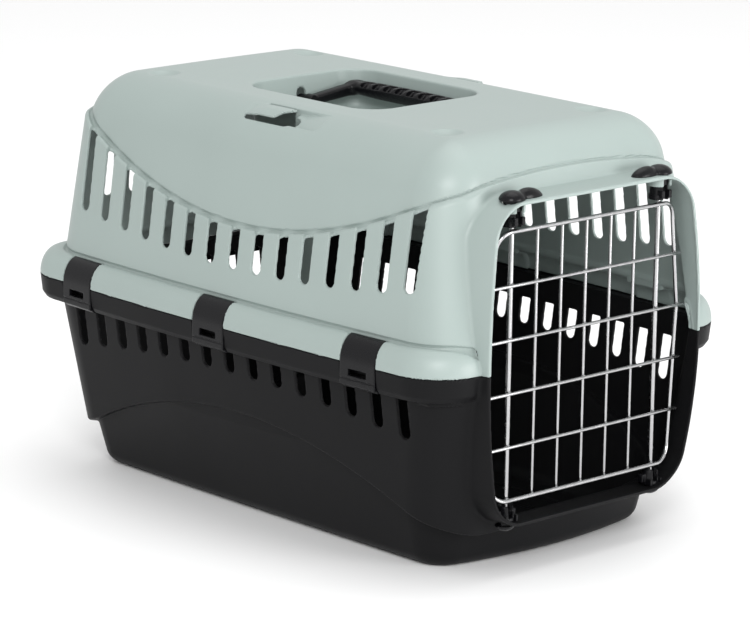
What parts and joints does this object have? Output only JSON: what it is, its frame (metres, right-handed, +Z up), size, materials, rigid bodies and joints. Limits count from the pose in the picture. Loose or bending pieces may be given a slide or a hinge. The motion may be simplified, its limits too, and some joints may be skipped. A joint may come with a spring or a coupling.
{
  "type": "pet transport carrier",
  "caption": "Small two-shell pet carrier with a wire door that swings on a vertical rod, turning door knobs, a folding roof handle and side clips.",
  "frame": {"origin": "centre of the footprint box at the ground", "axes": "+Z up, door faces -Y, length along Y, width along X"},
  "size_m": [0.32, 0.48, 0.313],
  "materials": {
    "upper_plastic": "sage green injection-moulded polypropylene, fine satin texture",
    "lower_plastic": "charcoal injection-moulded polypropylene, fine satin texture",
    "black_plastic": "black moulded plastic, satin",
    "steel_wire": "bright zinc or nickel plated steel wire"
  },
  "bodies": {
    "root": {"lower_shell": "lower_plastic", "upper_shell": "upper_plastic", "door_foot_left": "black_plastic", "door_foot_right": "black_plastic"},
    "door": {"door_frame": "steel_wire", "door_bar_1": "steel_wire", "door_bar_2": "steel_wire", "door_bar_3": "steel_wire", "door_bar_4": "steel_wire", "door_upright_1": "steel_wire", "door_upright_2": "steel_wire", "door_upright_3": "steel_wire", "door_upright_4": "steel_wire", "door_upright_5": "steel_wire", "door_rod_left": "steel_wire", "door_rod_right": "steel_wire"},
    "knob_left": {"door_knob_left": "black_plastic"},
    "knob_right": {"door_knob_right": "black_plastic"},
    "handle": {"carry_handle": "black_plastic"},
    "clip_front_left": {"clip_left_front": "black_plastic"},
    "clip_middle_left": {"clip_left_middle": "black_plastic"},
    "clip_rear_left": {"clip_left_rear": "black_plastic"},
    "clip_front_right": {"clip_right_front": "black_plastic"},
    "clip_middle_right": {"clip_right_middle": "black_plastic"},
    "clip_rear_right": {"clip_right_rear": "black_plastic"}
  },
  "joints": [
    {"name": "door_swing", "type": "hinge", "parent": "root", "child": "door", "pos_m": [-0.0754, -0.225, 0.15], "axis": [0, 0, -1], "range_deg": [0, 130]},
    {"name": "knob_left_turn", "type": "hinge", "parent": "root", "child": "knob_left", "pos_m": [-0.0754, -0.225, 0.265], "axis": [0, 0, -1], "range_deg": [0, 90]},
    {"name": "knob_right_turn", "type": "hinge", "parent": "root", "child": "knob_right", "pos_m": [0.0754, -0.225, 0.265], "axis": [0, 0, 1], "range_deg": [0, 90]},
    {"name": "handle_lift", "type": "hinge", "parent": "root", "child": "handle", "pos_m": [0, 0.0115, 0.295], "axis": [0, -1, 0], "range_deg": [0, 180]},
    {"name": "clip_front_left_open", "type": "hinge", "parent": "root", "child": "clip_front_left", "pos_m": [-0.15046, -0.15373, 0.139], "axis": [0.045, -0.999, 0], "range_deg": [0, 95]},
    {"name": "clip_middle_left_open", "type": "hinge", "parent": "root", "child": "clip_middle_left", "pos_m": [-0.154, 0.006, 0.139], "axis": [-0.0007, -1, 0], "range_deg": [0, 95]},
    {"name": "clip_rear_left_open", "type": "hinge", "parent": "root", "child": "clip_rear_left", "pos_m": [-0.15023, 0.16572, 0.139], "axis": [-0.0464, -0.9989, 0], "range_deg": [0, 95]},
    {"name": "clip_front_right_open", "type": "hinge", "parent": "root", "child": "clip_front_right", "pos_m": [0.15046, -0.15373, 0.139], "axis": [0.045, 0.999, 0], "range_deg": [0, 95]},
    {"name": "clip_middle_right_open", "type": "hinge", "parent": "root", "child": "clip_middle_right", "pos_m": [0.154, 0.006, 0.139], "axis": [-0.0007, 1, 0], "range_deg": [0, 95]},
    {"name": "clip_rear_right_open", "type": "hinge", "parent": "root", "child": "clip_rear_right", "pos_m": [0.15023, 0.16572, 0.139], "axis": [-0.0464, 0.9989, 0], "range_deg": [0, 95]}
  ]
}
